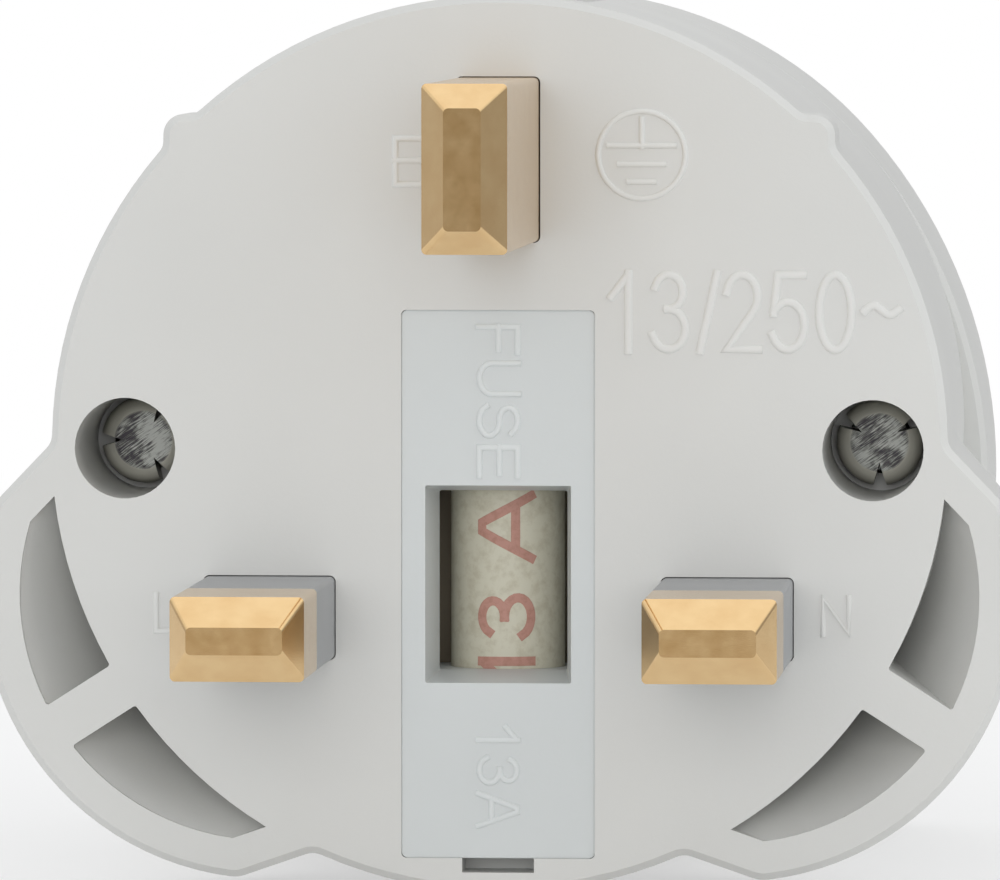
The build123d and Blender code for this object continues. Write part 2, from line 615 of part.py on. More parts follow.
def line_clip():
    """The clip and strap that carry current from the line pin to the fuse."""
    half = TAIL_WIDTH / 2
    edge = -WELL_WIDTH / 2 - WELL_WALL - half - STRAP_NOTCH_GAP
    tail_z = CLIP_LOW_Z + CLIP_WIDTH / 2 - half
    tail = block(edge, -FUSE_CAP_R, STRAP_Y0, STRAP_Y1, tail_z - half, tail_z + half)
    pin = (-LIVE_X, PIN_ROW_Z)
    return fuse_clip(CLIP_LOW_Z) + tail + strap((edge, tail_z), half, pin, pin)


def load_clip():
    """The clip and strap that carry current from the fuse to the line contact."""
    half = TAIL_WIDTH / 2
    tail_z = CLIP_HIGH_Z - CLIP_WIDTH / 2 + half
    tail = block(-SOCKET_X, -FUSE_CAP_R, STRAP_Y0, STRAP_Y1, tail_z - half, tail_z + half)
    return fuse_clip(CLIP_HIGH_Z) + tail + strap((-SOCKET_X, tail_z), half, (-SOCKET_X, 0))


def neutral_strap():
    """The strap from the neutral pin to the neutral contact."""
    pin = (LIVE_X, PIN_ROW_Z)
    return strap((SOCKET_X, 0), STRAP_END_R, pin, pin)


def tulip(x):
    """A two-leaf sprung contact that takes one round plug pin."""
    inner = TULIP_PIN_R
    outer = inner + STRIP
    top = TULIP_Y1
    bend = top - TULIP_FLARE_LENGTH
    low = STRAP_Y1
    section = Polyline(
        (0, low), (outer, low), (outer, bend), (outer + TULIP_FLARE, top), (inner + TULIP_FLARE, top),
        (inner, bend), (inner, low + STRIP), (0, low + STRIP), close=True,
    )
    leaf = extrude(make_face(section), amount=TULIP_WIDTH / 2, both=True)
    return Pos(x, 0, 0) * both_sides(leaf)


def contact_board():
    """The moulded board that backs the straps and holds the contacts apart."""
    height = INNER_R + BOARD_TOP
    shape = Circle(SPIGOT_R) & rectangle(0, BOARD_TOP - height / 2, 2 * BARREL_R, height)
    for x, z in screw_sites():
        shape -= disc(x, z, max(SCREW_WELL_R + BOSS_WALL, POST_R) + BOARD_FIT)
    half = TULIP_PIN_R + STRIP + BOARD_FIT
    for x in (-SOCKET_X, SOCKET_X):
        shape -= rectangle(x, 0, 2 * half, TULIP_WIDTH + 2 * BOARD_FIT)
    return slab(shape, STRAP_Y1, STRAP_Y1 + BOARD_THICK)


def earth_bracket():
    """One bent strip: a bridge behind the recess floor and two legs with sprung lips in the recess."""
    start = SEAM_Y + EARTH_LIP_START
    peak = SEAM_Y + EARTH_LIP_PEAK
    end = SEAM_Y + EARTH_LIP_END
    lip = LEG_Z0 - EARTH_LIP_REACH
    section = Polyline(
        (BRIDGE_Y0, 0), (BRIDGE_Y0, LEG_Z1), (start, LEG_Z1), (peak, lip + EARTH_STRIP), (end, LEG_Z1),
        (end, LEG_Z0), (peak, lip), (start, LEG_Z0), (BRIDGE_Y1, LEG_Z0), (BRIDGE_Y1, 0), close=True,
    )
    half = extrude(Plane.YZ * make_face(section), amount=EARTH_WIDTH / 2, both=True)
    bends = [e for e in half.edges().filter_by(Axis.X) if abs(e.center().Y - peak) < EARTH_STRIP / 2]
    half = fillet(bends, EARTH_STRIP)
    return half + mirror(half, about=Plane.XY)


def earth_link():
    """The bent link from the earth pin's stem back to the earth bracket."""
    z0 = EARTH_Z - STRAP_END_R
    z1 = EARTH_Z + STRAP_END_R
    foot = block(LINK_X, STRAP_END_R, LINK_Y0, LINK_Y0 + EARTH_STRIP, z0, z1)
    foot -= Pos(0, 0, EARTH_Z) * slab(Circle(STEM_R + STEM_GAP), LINK_Y0, LINK_Y0 + EARTH_STRIP)
    riser = block(LINK_X, LINK_X + EARTH_STRIP, LINK_Y0, BRIDGE_Y0, z0, z1)
    return foot + riser + block(LINK_X, 0, BRIDGE_Y0 - EARTH_STRIP, BRIDGE_Y0, z0, z1)


def shutter():
    """The sliding shutter, with a ramp under each contact hole."""
    half = SHUTTER_HALF_HEIGHT
    plate = block(-SHUTTER_HALF_WIDTH, SHUTTER_HALF_WIDTH, SHUTTER_Y0, SHUTTER_Y1, -half, half)
    ramp = Polyline(
        (SHUTTER_Y1, SHUTTER_RAMP_REST - half), (SHUTTER_Y1, half), (SHUTTER_Y0 + STRIP, half), close=True
    )
    wedge = extrude(Plane.YZ * make_face(ramp), amount=CONTACT_HOLE_R, both=True)
    return plate - Pos(-SOCKET_X, 0, 0) * wedge - Pos(SOCKET_X, 0, 0) * wedge


def shutter_spring():
    """The coil spring that pushes the shutter shut."""
    low = -SHUTTER_HALF_HEIGHT - SPRING_LENGTH - SPRING_SEAT_GAP + SPRING_WIRE_R
    rise = SPRING_LENGTH - 2 * SPRING_WIRE_R
    path = Helix(pitch=rise / SPRING_TURNS, height=rise, radius=SPRING_R)
    start = Plane(origin=path @ 0, z_dir=path % 0)
    wire = sweep(start * RegularPolygon(SPRING_WIRE_R, SPRING_WIRE_SIDES), path=path, is_frenet=True)
    return Pos(0, (SHUTTER_Y0 + SHUTTER_Y1) / 2, low) * wire


def case_screw(x, z, turn):
    """A case screw: flat-topped head with a round shoulder and three notches, and a plain shank."""
    rim = SCREW_SEAT_Y
    crown = SCREW_HEAD_DEPTH
    shoulder = crown + SCREW_SHOULDER_R
    top_r = SCREW_HEAD_R - SCREW_SHOULDER_R
    section = Polyline(
        (top_r, crown), (0, crown), (0, rim + SCREW_LENGTH), (SCREW_SHANK_R, rim + SCREW_LENGTH),
        (SCREW_SHANK_R, rim), (SCREW_HEAD_R, rim), (SCREW_HEAD_R, shoulder),
    )
    section += TangentArc((SCREW_HEAD_R, shoulder), (top_r, crown), tangent=(0, -1))
    screw = revolve(make_face(section), axis=Axis.Y)
    inner = SCREW_HEAD_R - SCREW_NOTCH_DEPTH
    far = 2 * SCREW_HEAD_R
    flare = SCREW_NOTCH_SLOPE * (far - inner)
    corners = [(inner, 0), (far, flare), (far, -flare)]
    notch = make_face(Polyline(*corners, close=True))
    for step in range(SCREW_NOTCHES):
        angle = turn + step * 360 / SCREW_NOTCHES
        screw -= slab(Rot(0, 0, angle) * notch, crown, rim)
    return Pos(x, 0, z) * screw


def usb_shell():
    """The folded steel shell of the port, open at the top."""
    half_x = USB_THICK / 2
    half_y = USB_WIDTH / 2
    outer = block(-half_x, half_x, USB_Y - half_y, USB_Y + half_y, USB_LOW, USB_TOP)
    outer = fillet(outer.edges().filter_by(Axis.Z), 2 * USB_SHEET)
    half_x -= USB_SHEET
    half_y -= USB_SHEET
    inner = block(-half_x, half_x, USB_Y - half_y, USB_Y + half_y, USB_LOW + USB_SHEET, USB_TOP + USB_SHEET)
    return outer - fillet(inner.edges().filter_by(Axis.Z), USB_SHEET)


def tongue_faces():
    """The two flat sides of the port's tongue, as X values."""
    return TONGUE_OFFSET - TONGUE_THICK / 2, TONGUE_OFFSET + TONGUE_THICK / 2


def usb_tongue():
    """The port's insulating tongue on its back block."""
    x0, x1 = tongue_faces()
    low = USB_LOW + USB_SHEET
    half_x = USB_THICK / 2 - USB_SHEET - TONGUE_SIDE_GAP
    half = TONGUE_WIDTH / 2
    tongue = block(-half_x, half_x, USB_Y - half, USB_Y + half, low, low + TONGUE_BACK)
    return tongue + block(x0, x1, USB_Y - half, USB_Y + half, low, USB_TOP - TONGUE_SET_BACK)


def usb_contacts():
    """The four contact strips on the tongue."""
    x0, x1 = tongue_faces()
    top = USB_TOP - TONGUE_SET_BACK - CONTACT_END_GAP
    low = USB_LOW + USB_SHEET + TONGUE_BACK + CONTACT_END_GAP
    half = CONTACT_WIDTH / 2
    strips = []
    for step in range(CONTACT_COUNT):
        y = USB_Y + (step - (CONTACT_COUNT - 1) / 2) * CONTACT_PITCH
        strips.append(block(x0 - CONTACT_THICK, x0, y - half, y + half, low, top))
    return strips


def usb_board():
    """The circuit board that carries the port and the supply parts."""
    return block(BOARD_X, BOARD_X + USB_BOARD_THICK, BOARD_Y0, BOARD_Y1, BOARD_LOW, USB_BOARD_TOP)


def transformer_place():
    """The transformer's corner on the board: X, Y and Z."""
    return BOARD_X + USB_BOARD_THICK, BOARD_Y1 - COIL_END_GAP - COIL_LENGTH, BOARD_LOW


def coil_windows():
    """The front and back Y limits of the core's two windows."""
    y = transformer_place()[1]
    leg = (COIL_LENGTH - 4 * COIL_CORE_WALL) / 2
    far = y + COIL_LENGTH - COIL_CORE_WALL
    return [(y + COIL_CORE_WALL, y + COIL_CORE_WALL + leg), (far - leg, far)]


def transformer_core():
    """The two-window ferrite core of the transformer."""
    x, y, z = transformer_place()
    core = block(x, x + COIL_WIDTH, y, y + COIL_LENGTH, z, z + COIL_HEIGHT)
    for y0, y1 in coil_windows():
        core -= block(x, x + COIL_WIDTH, y0, y1, z + COIL_CORE_WALL, z + COIL_HEIGHT - COIL_CORE_WALL)
    return core


def transformer_coil():
    """The winding through both windows of the core."""
    x, y, z = transformer_place()
    low = z + COIL_CORE_WALL + COIL_FIT
    high = z + COIL_HEIGHT - COIL_CORE_WALL - COIL_FIT
    near = x + COIL_WIDTH + COIL_FIT
    far = near + COIL_RISE
    front, back = coil_windows()
    coil = block(near, far, front[0] + COIL_FIT, back[1] - COIL_FIT, low, high)
    for y0, y1 in (front, back):
        coil += block(x + COIL_FIT, far, y0 + COIL_FIT, y1 - COIL_FIT, low, high)
    return coil


def capacitor():
    """The smoothing capacitor, standing off the board."""
    x = BOARD_X + USB_BOARD_THICK
    y = transformer_place()[1] - CAPACITOR_GAP - CAPACITOR_R
    can = Rot(0, 90, 0) * Cylinder(CAPACITOR_R, CAPACITOR_LENGTH)
    can = chamfer(can.edges().group_by(Axis.X)[-1], CAPACITOR_EDGE)
    return Pos(x + CAPACITOR_LENGTH / 2, y, BOARD_LOW + CAPACITOR_R) * can


def controller():
    """The supply's control chip."""
    x = BOARD_X + USB_BOARD_THICK
    y = BOARD_Y0 + CHIP_SIZE
    z = USB_BOARD_TOP - CHIP_SIZE
    half = CHIP_SIZE / 2
    return block(x, x + CHIP_THICK, y - half, y + half, z - half, z + half)


nodes = {
    "pin_shell": pin_shell(),
    "socket_shell": socket_shell(),
    "line_pin": live_pin(-1),
    "neutral_pin": live_pin(1),
    "earth_pin": earth_pin(),
    "line_sleeve": at_pin(pin_sleeve(), -1),
    "neutral_sleeve": at_pin(pin_sleeve(), 1),
    "fuse_carrier": fuse_carrier(),
    "fuse_tube": fuse_tube(),
    "fuse_caps": fuse_caps(),
    "line_clip": line_clip(),
    "load_clip": load_clip(),
    "neutral_strap": neutral_strap(),
    "line_contact": tulip(-SOCKET_X),
    "neutral_contact": tulip(SOCKET_X),
    "contact_board": contact_board(),
    "earth_bracket": earth_bracket(),
    "earth_link": earth_link(),
    "shutter": shutter(),
    "shutter_spring": shutter_spring(),
    "case_screws": [
        case_screw(-SCREW_X, SCREW_Z, SCREW_TURN_LEFT),
        case_screw(SCREW_X, SCREW_Z, SCREW_TURN_RIGHT),
    ],
    "usb_shell": usb_shell(),
    "usb_tongue": usb_tongue(),
    "usb_contacts": usb_contacts(),
    "usb_board": usb_board(),
    "transformer_core": transformer_core(),
    "transformer_coil": transformer_coil(),
    "capacitor": capacitor(),
    "controller": controller(),
}

os.makedirs("parts", exist_ok=True)
for name, shape in nodes.items():
    solid = Compound(children=shape) if isinstance(shape, list) else shape
    export_step(solid, f"parts/{name}.step")
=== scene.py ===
import json
import math

import bpy
from mathutils import Matrix, Vector


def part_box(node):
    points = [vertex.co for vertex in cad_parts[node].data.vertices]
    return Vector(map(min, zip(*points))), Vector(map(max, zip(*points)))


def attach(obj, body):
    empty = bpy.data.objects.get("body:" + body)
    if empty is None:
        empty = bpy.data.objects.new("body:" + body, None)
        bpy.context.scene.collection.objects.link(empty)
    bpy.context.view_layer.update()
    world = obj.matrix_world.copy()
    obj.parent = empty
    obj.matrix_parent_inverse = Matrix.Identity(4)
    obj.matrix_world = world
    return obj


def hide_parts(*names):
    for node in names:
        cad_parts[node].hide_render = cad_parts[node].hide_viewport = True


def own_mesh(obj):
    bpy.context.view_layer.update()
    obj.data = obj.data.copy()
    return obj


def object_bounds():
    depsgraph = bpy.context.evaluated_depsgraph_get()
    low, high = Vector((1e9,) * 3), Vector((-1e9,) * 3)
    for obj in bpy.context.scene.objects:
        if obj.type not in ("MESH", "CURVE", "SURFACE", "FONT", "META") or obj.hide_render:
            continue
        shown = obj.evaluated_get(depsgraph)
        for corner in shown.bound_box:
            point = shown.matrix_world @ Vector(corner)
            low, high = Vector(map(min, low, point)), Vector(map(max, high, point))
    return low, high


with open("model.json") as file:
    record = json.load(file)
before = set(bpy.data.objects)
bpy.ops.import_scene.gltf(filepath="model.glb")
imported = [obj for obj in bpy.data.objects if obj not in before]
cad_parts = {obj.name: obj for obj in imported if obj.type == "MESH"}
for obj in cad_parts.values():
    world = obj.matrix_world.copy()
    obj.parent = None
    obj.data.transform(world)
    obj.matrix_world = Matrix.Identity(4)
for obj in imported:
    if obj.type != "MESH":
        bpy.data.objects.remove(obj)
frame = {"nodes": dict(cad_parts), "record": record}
cad_low, cad_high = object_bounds()

MM = 0.001

# Viewpoint: the camera looks at the pin face from a little above and to the right, through a long lens.
CAMERA_PLACE = Vector((38.0, -515.0, 24.8)) * MM
CAMERA_AIM = Vector((0.1, 0.0, 0.26)) * MM
SENSOR_WIDTH = 36.0
SEEN_WIDTH = 48.4
CLIP_NEAR = 0.01
CLIP_FAR = 100.0

# Raised marks, in millimetres: height above the face, depth below it and the step between strokes that
# cross. The section gives the soft flank of a stroke as shares of its width, then its height. A corner is
# at most so many times as wide as its stroke, and points closer than the last value are the same.
MARK_RISE = 0.1
MARK_SINK = 0.05
PATH_STEP = 0.002
MARK_SECTION = ((-0.5, -MARK_SINK), (-0.36, 0.6 * MARK_RISE), (-0.18, MARK_RISE))
MITRE_LIMIT = 1.6
SAME_POINT = 1e-6

# Marks on the pin face: left, right, low and high edge in millimetres, then the stroke's width.
FACE_MARKS = {
    "E": (-5.15, -3.55, 12.46, 15.02, 0.34),
    "L": (-16.8, -15.45, -9.23, -7.19, 0.32),
    "N": (15.6, 17.16, -9.23, -7.19, 0.32),
    "13/250~": (5.3, 19.58, 4.44, 8.52, 0.46),
}
# Marks that read down the fuse carrier, in the same terms, and their turn in degrees.
CARRIER_MARKS = {
    "FUSE": (-1.08, 1.12, -1.6, 5.9, 0.34),
    "13A": (-1.08, 1.09, -18.63, -13.55, 0.34),
}
CARRIER_MARK_TURN = 90
# Earth sign, in millimetres: the stem's high and low end, then each bar's height and width.
EARTH_SIGN_CENTRE = (6.96, 14.07)
EARTH_SIGN_R = 2.27
EARTH_SIGN_LINE = 0.32
EARTH_SIGN_STEM = (1.85, 0.45)
EARTH_SIGN_BARS = ((0.45, 3.4), (-0.45, 2.4), (-1.3, 1.45))
EARTH_SIGN_STEPS = 72

# Rating printed along the fuse, in millimetres: low and high edge of each character, the print's left and
# right edge, its stroke, how far the ink stands above and below the glaze, and its longest straight piece.
FUSE_PRINT = {"1": (-11.6, -10.53), "3": (-9.7, -7.42), "A": (-5.94, -2.44)}
PRINT_LEFT = -1.3
PRINT_RIGHT = 1.5
PRINT_STROKE = 0.46
PRINT_LIFT = 0.02
PRINT_SINK = 0.02
PRINT_SECTION = ((-0.5, -PRINT_SINK), (-0.48, PRINT_LIFT), (-0.44, PRINT_LIFT))
PRINT_STEP = 0.2

# Mould line round the carrier's edge, in millimetres: reach into the gap, sink into the carrier, the
# depths behind the carrier's face between which it lies, and the corner it follows.
RIM_REACH = 0.045
RIM_SINK = 0.02
RIM_DEPTHS = (0.03, 0.4)
RIM_CORNER_R = 0.25
RIM_CORNER_STEPS = 6

# The shutter's coil spring in round wire, in millimetres.
SPRING_WIRE_R = 0.22
SPRING_TURNS = 7
SPRING_TURN_STEPS = 24
SPRING_WIRE_SIDES = 12

# Edge rounding of each moulded or machined piece, in millimetres, and the sharpest angle left as it is.
SOFT_EDGES = {
    "pin_shell": 0.12,
    "socket_shell": 0.12,
    "fuse_carrier": 0.08,
    "line_pin": 0.16,
    "neutral_pin": 0.16,
    "earth_pin": 0.16,
    "case_screws": 0.06,
}
SOFT_EDGE_ANGLE = 35
SOFT_EDGE_SEGMENTS = 2

# Moulded skins: the size over which the tone drifts and the depth of the pits in millimetres, the strength
# of their relief, the spread of the roughness, and where the two tones lie in the drift.
DRIFT_SIZE = 14.0
PIT_DEPTH = 0.02
PIT_STRENGTH = 0.25
GLOSS_SPREAD = 0.05
PLASTIC_TONES = (0.3, 0.7)
PLASTIC_IOR = 1.53

# Metal skins: how much longer than wide a streak is, its depth in millimetres and the strength of its
# relief, how far the roughness swings, and where the two tones lie in the patches.
STREAK_STRETCH = 14
STREAK_DEPTH = 0.01
STREAK_STRENGTH = 0.12
GLOSS_SWING = 0.3
METAL_TONES = (0.3, 0.65)
# Tarnish on the pins' flat ends: spot size in millimetres, the facing at which it starts and is full, and
# the most that a spot can take.
TARNISH_SPOT = 0.8
TARNISH_FACING = (-0.93, -0.995)
TARNISH_MOST = 1.1

# Screw heads: direction of the driver's scores in degrees, length, depth and width of a score and size of a
# worn patch in millimetres, the relief of the scores, where the dark, bright and middle tone lie in the wear,
# the facing at which the rim's painted shade and the edge's painted highlight lie and the flat top starts and
# is full.
SCORE_TURN = 35.0
SCORE_SIZE = (0.8, 0.5, 0.05)
SCORE_DISTORTION = 0.6
SCORE_DEPTH = 0.03
SCORE_STRENGTH = 0.5
WEAR_PATCH = 0.9
WEAR_RANGE = (0.85, 1.15)
WEAR_TONES = (0.2, 0.95, 0.5)
SHOULDER_SHADING_FACING = (0.15, 0.9)
TOP_FACING = (0.98, 0.997)
SCREW_METALLIC = 0.5
SCREW_ROUGHNESS = 0.36

# Specks in fired or filled material: relief in millimetres, its strength, how broken they are, and where
# the two tones lie.
SPECK_DEPTH = 0.02
SPECK_STRENGTH = 0.2
SPECK_BREAK = 0.65
SPECK_TONES = (0.36, 0.55)

# Lamps, in metres and watts: place, aim, size, power, and whether polished metal mirrors the lamp.
LAMPS = {
    "front_softbox": ((-0.05, -1.4, 0.15), (0, 0, 0), 0.8, 6.4, False),
    "right_softbox": ((1.3, -0.4, 0.5), (0, 0, 0), 1.0, 2.4, False),
    "rear_softbox": ((-0.6, 1.3, 0.6), (0, 0, 0), 1.0, 4.5, False),
    "top_softbox": ((0.1, -0.1, 1.3), (0, 0.02, 0), 2.2, 3.2, True),
}
WORLD_LIGHT = 0.7

# Floor and studio wall, in metres: the floor's half side, where its own colour gives way to white and the
# share of white there, the wall's radius and top, and its glow on the left and on the right.
FLOOR_REACH = 12.0
FLOOR_FADE = (0.06, 0.4)
FLOOR_WHITE = (0.55, 1.0)
WALL_R = 0.25
WALL_TOP = 0.11
WALL_GLOW = (0.6, 0.44)
WALL_STEPS = 48
WHITE = (1, 1, 1, 1)

FACE_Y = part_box("pin_shell")[0].y
CARRIER_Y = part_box("fuse_carrier")[0].y
FLOOR_Z = cad_low.z


def linear(code):
    """The linear colour of an sRGB hex value."""
    parts = [int(code[i : i + 2], 16) / 255 for i in (1, 3, 5)]
    return (*[p / 12.92 if p <= 0.04045 else ((p + 0.055) / 1.055) ** 2.4 for p in parts], 1.0)


def per_mm(size):
    """A pattern's scale for features of this size in millimetres."""
    return 1 / (size * MM)


def add_node(tree, kind, inputs=None, stops=(), **settings):
    """Adds a node: sets its properties and colour stops, then sets or links each of its inputs."""
    made = tree.nodes.new(kind)
    for name, value in settings.items():
        setattr(made, name, value)
    for index, (position, colour) in enumerate(stops):
        ramp = made.color_ramp.elements
        stop = ramp[index] if index < 2 else ramp.new(position)
        stop.position = position
        stop.color = colour
    for name, value in (inputs or {}).items():
        if isinstance(value, bpy.types.NodeSocket):
            tree.links.new(value, made.inputs[name])
        else:
            made.inputs[name].default_value = value
    return made


def new_material(name):
    """A material with an empty node tree: the tree, a point on the piece, and its output node."""
    material = bpy.data.materials.new(name)
    material.use_nodes = True
    tree = material.node_tree
    tree.nodes.clear()
    place = add_node(tree, "ShaderNodeTexCoord").outputs["Object"]
    out = add_node(tree, "ShaderNodeOutputMaterial")
    return material, tree, place, out


def moulded_plastic(name, light, dark, roughness, grain):
    """Injection-moulded plastic: an even tone that drifts slightly, satin, with a fine pitted skin."""
    material, tree, place, out = new_material(name)
    drift = add_node(
        tree, "ShaderNodeTexNoise", {"Vector": place, "Scale": per_mm(DRIFT_SIZE), "Detail": 2.0}
    )
    tone = add_node(
        tree, "ShaderNodeValToRGB", {"Fac": drift.outputs["Fac"]},
        zip(PLASTIC_TONES, (linear(dark), linear(light))),
    )
    pits = add_node(tree, "ShaderNodeTexNoise", {"Vector": place, "Scale": per_mm(grain), "Detail": 2.0})
    gloss = add_node(
        tree, "ShaderNodeMapRange",
        {
            "Value": pits.outputs["Fac"],
            "To Min": roughness - GLOSS_SPREAD,
            "To Max": roughness + GLOSS_SPREAD,
        },
    )
    skin = add_node(
        tree, "ShaderNodeBump",
        {"Height": pits.outputs["Fac"], "Strength": PIT_STRENGTH, "Distance": PIT_DEPTH * MM},
    )
    shader = add_node(
        tree, "ShaderNodeBsdfPrincipled",
        {
            "Base Color": tone.outputs["Color"],
            "Roughness": gloss.outputs["Result"],
            "Normal": skin.outputs["Normal"],
            "IOR": PLASTIC_IOR,
        },
    )
    tree.links.new(shader.outputs["BSDF"], out.inputs["Surface"])
    return material


def bright_metal(name, light, dark, roughness, streak, along, patch=6.0, tarnish=None):
    """Bare or plated metal: soft patches of two tones, fine streaks one way, flat front ends tarnished."""
    material, tree, place, out = new_material(name)
    stretch = [per_mm(streak)] * 3
    stretch["xyz".index(along)] = per_mm(streak * STREAK_STRETCH)
    lines = add_node(tree, "ShaderNodeMapping", {"Vector": place, "Scale": stretch})
    streaks = add_node(
        tree, "ShaderNodeTexNoise", {"Vector": lines.outputs["Vector"], "Scale": 1.0, "Detail": 3.0}
    )
    patches = add_node(
        tree, "ShaderNodeTexNoise", {"Vector": place, "Scale": per_mm(patch), "Detail": 4.0}
    )
    tone = add_node(
        tree, "ShaderNodeValToRGB", {"Fac": patches.outputs["Fac"]},
        zip(METAL_TONES, (linear(dark), linear(light))),
    )
    colour = tone.outputs["Color"]
    if tarnish:
        normal = add_node(tree, "ShaderNodeNewGeometry").outputs["Normal"]
        front = add_node(tree, "ShaderNodeSeparateXYZ", {0: normal}).outputs["Y"]
        spots = add_node(
            tree, "ShaderNodeTexNoise", {"Vector": place, "Scale": per_mm(TARNISH_SPOT), "Detail": 5.0}
        )
        start, full = TARNISH_FACING
        flat = add_node(
            tree, "ShaderNodeMapRange",
            {"Value": front, "From Min": start, "From Max": full, "To Max": TARNISH_MOST},
        )
        share = add_node(
            tree, "ShaderNodeMath", {0: flat.outputs["Result"], 1: spots.outputs["Fac"]},
            operation="MULTIPLY",
        )
        stained = add_node(
            tree, "ShaderNodeMixRGB",
            {"Fac": share.outputs[0], "Color1": colour, "Color2": linear(tarnish)},
        )
        colour = stained.outputs["Color"]
    gloss = add_node(
        tree, "ShaderNodeMapRange",
        {
            "Value": streaks.outputs["Fac"],
            "To Min": roughness * (1 - GLOSS_SWING),
            "To Max": roughness * (1 + GLOSS_SWING),
        },
    )
    skin = add_node(
        tree, "ShaderNodeBump",
        {"Height": streaks.outputs["Fac"], "Strength": STREAK_STRENGTH, "Distance": STREAK_DEPTH * MM},
    )
    shader = add_node(
        tree, "ShaderNodeBsdfPrincipled",
        {
            "Base Color": colour,
            "Metallic": 1.0,
            "Roughness": gloss.outputs["Result"],
            "Normal": skin.outputs["Normal"],
        },
    )
    tree.links.new(shader.outputs["BSDF"], out.inputs["Surface"])
    return material


def worn_and_shaded_screw_steel(name, rim, edge, dark, middle, light):
    """Screw steel: a rim in painted shade, an edge in painted highlight, and a flat top scored one way by
    drivers.
    """
    material, tree, place, out = new_material(name)
    normal = add_node(tree, "ShaderNodeNewGeometry").outputs["Normal"]
    front = add_node(tree, "ShaderNodeSeparateXYZ", {0: normal}).outputs["Y"]
    facing = add_node(tree, "ShaderNodeMath", {0: front, 1: -1.0}, operation="MULTIPLY").outputs[0]
    # Painted shade and highlight: the shoulder runs from dark where it turns aside to bright where it faces
    # forward.
    shoulder_shading = add_node(
        tree, "ShaderNodeValToRGB", {"Fac": facing}, zip(SHOULDER_SHADING_FACING, (linear(rim), linear(edge)))
    )
    patches = add_node(
        tree, "ShaderNodeTexNoise", {"Vector": place, "Scale": per_mm(WEAR_PATCH), "Detail": 4.0}
    )
    lines = add_node(
        tree, "ShaderNodeMapping", {"Vector": place, "Rotation": (0, math.radians(SCORE_TURN), 0)}
    )
    finer = add_node(
        tree, "ShaderNodeMapping",
        {"Vector": lines.outputs["Vector"], "Scale": [per_mm(size) for size in SCORE_SIZE]},
    )
    scores = add_node(
        tree, "ShaderNodeTexNoise",
        {"Vector": finer.outputs["Vector"], "Scale": 1.0, "Detail": 3.0, "Distortion": SCORE_DISTORTION},
    )
    wear = add_node(
        tree, "ShaderNodeMath", {0: patches.outputs["Fac"], 1: scores.outputs["Fac"]}, operation="ADD"
    )
    low, high = WEAR_RANGE
    level = add_node(
        tree, "ShaderNodeMapRange", {"Value": wear.outputs[0], "From Min": low, "From Max": high}
    )
    top = add_node(
        tree, "ShaderNodeValToRGB", {"Fac": level.outputs["Result"]},
        zip(WEAR_TONES, (linear(dark), linear(light), linear(middle))),
    )
    start, full = TOP_FACING
    flat = add_node(tree, "ShaderNodeMapRange", {"Value": facing, "From Min": start, "From Max": full})
    tone = add_node(
        tree, "ShaderNodeMixRGB",
        {
            "Fac": flat.outputs["Result"],
            "Color1": shoulder_shading.outputs["Color"],
            "Color2": top.outputs["Color"],
        },
    )
    skin = add_node(
        tree, "ShaderNodeBump",
        {"Height": scores.outputs["Fac"], "Strength": SCORE_STRENGTH, "Distance": SCORE_DEPTH * MM},
    )
    shader = add_node(
        tree, "ShaderNodeBsdfPrincipled",
        {
            "Base Color": tone.outputs["Color"],
            "Metallic": SCREW_METALLIC,
            "Roughness": SCREW_ROUGHNESS,
            "Normal": skin.outputs["Normal"],
        },
    )
    tree.links.new(shader.outputs["BSDF"], out.inputs["Surface"])
    return material


def speckled(name, light, dark, roughness, speck):
    """Fired or filled material: an even ground with fine darker specks."""
    material, tree, place, out = new_material(name)
    specks = add_node(
        tree, "ShaderNodeTexNoise",
        {"Vector": place, "Scale": per_mm(speck), "Detail": 5.0, "Roughness": SPECK_BREAK},
    )
    tone = add_node(
        tree, "ShaderNodeValToRGB", {"Fac": specks.outputs["Fac"]},
        zip(SPECK_TONES, (linear(dark), linear(light))),
    )
    skin = add_node(
        tree, "ShaderNodeBump",
        {"Height": specks.outputs["Fac"], "Strength": SPECK_STRENGTH, "Distance": SPECK_DEPTH * MM},
    )
    shader = add_node(
        tree, "ShaderNodeBsdfPrincipled",
        {"Base Color": tone.outputs["Color"], "Roughness": roughness, "Normal": skin.outputs["Normal"]},
    )
    tree.links.new(shader.outputs["BSDF"], out.inputs["Surface"])
    return material


# Pits, streaks and specks are given in millimetres. Those of a real mould, rolling mill or kiln are a few
# hundredths of a millimetre, too fine to show, so they are drawn several times coarser.

# Polycarbonate from a fine-eroded mould: an even, warm, satin white with soft highlights.
HOUSING = moulded_plastic(
    "polycarbonate_moulded_warm_white", "#dadad7", "#d6d6d3", roughness=0.42, grain=0.22
)
# The carrier's own batch of it: cooler and a little smoother, so that the carrier stands out from the face.
CARRIER = moulded_plastic(
    "polycarbonate_moulded_cool_white", "#d6dada", "#d2d6d6", roughness=0.36, grain=0.18
)
# Letters polished in the mould: smoother than the face they stand on, and painted a shade lighter as a
# highlight.
HOUSING_MARK_PAINTED_LIGHTER = moulded_plastic(
    "polycarbonate_moulded_mark_warm_painted_highlight", "#e1e1de", "#dededb", roughness=0.34, grain=0.22
)
# The same on the carrier's cooler plastic: smoother, and painted a shade lighter as a highlight.
CARRIER_MARK_PAINTED_LIGHTER = moulded_plastic(
    "polycarbonate_moulded_mark_cool_painted_highlight", "#dde1e1", "#dadede", roughness=0.3, grain=0.18
)
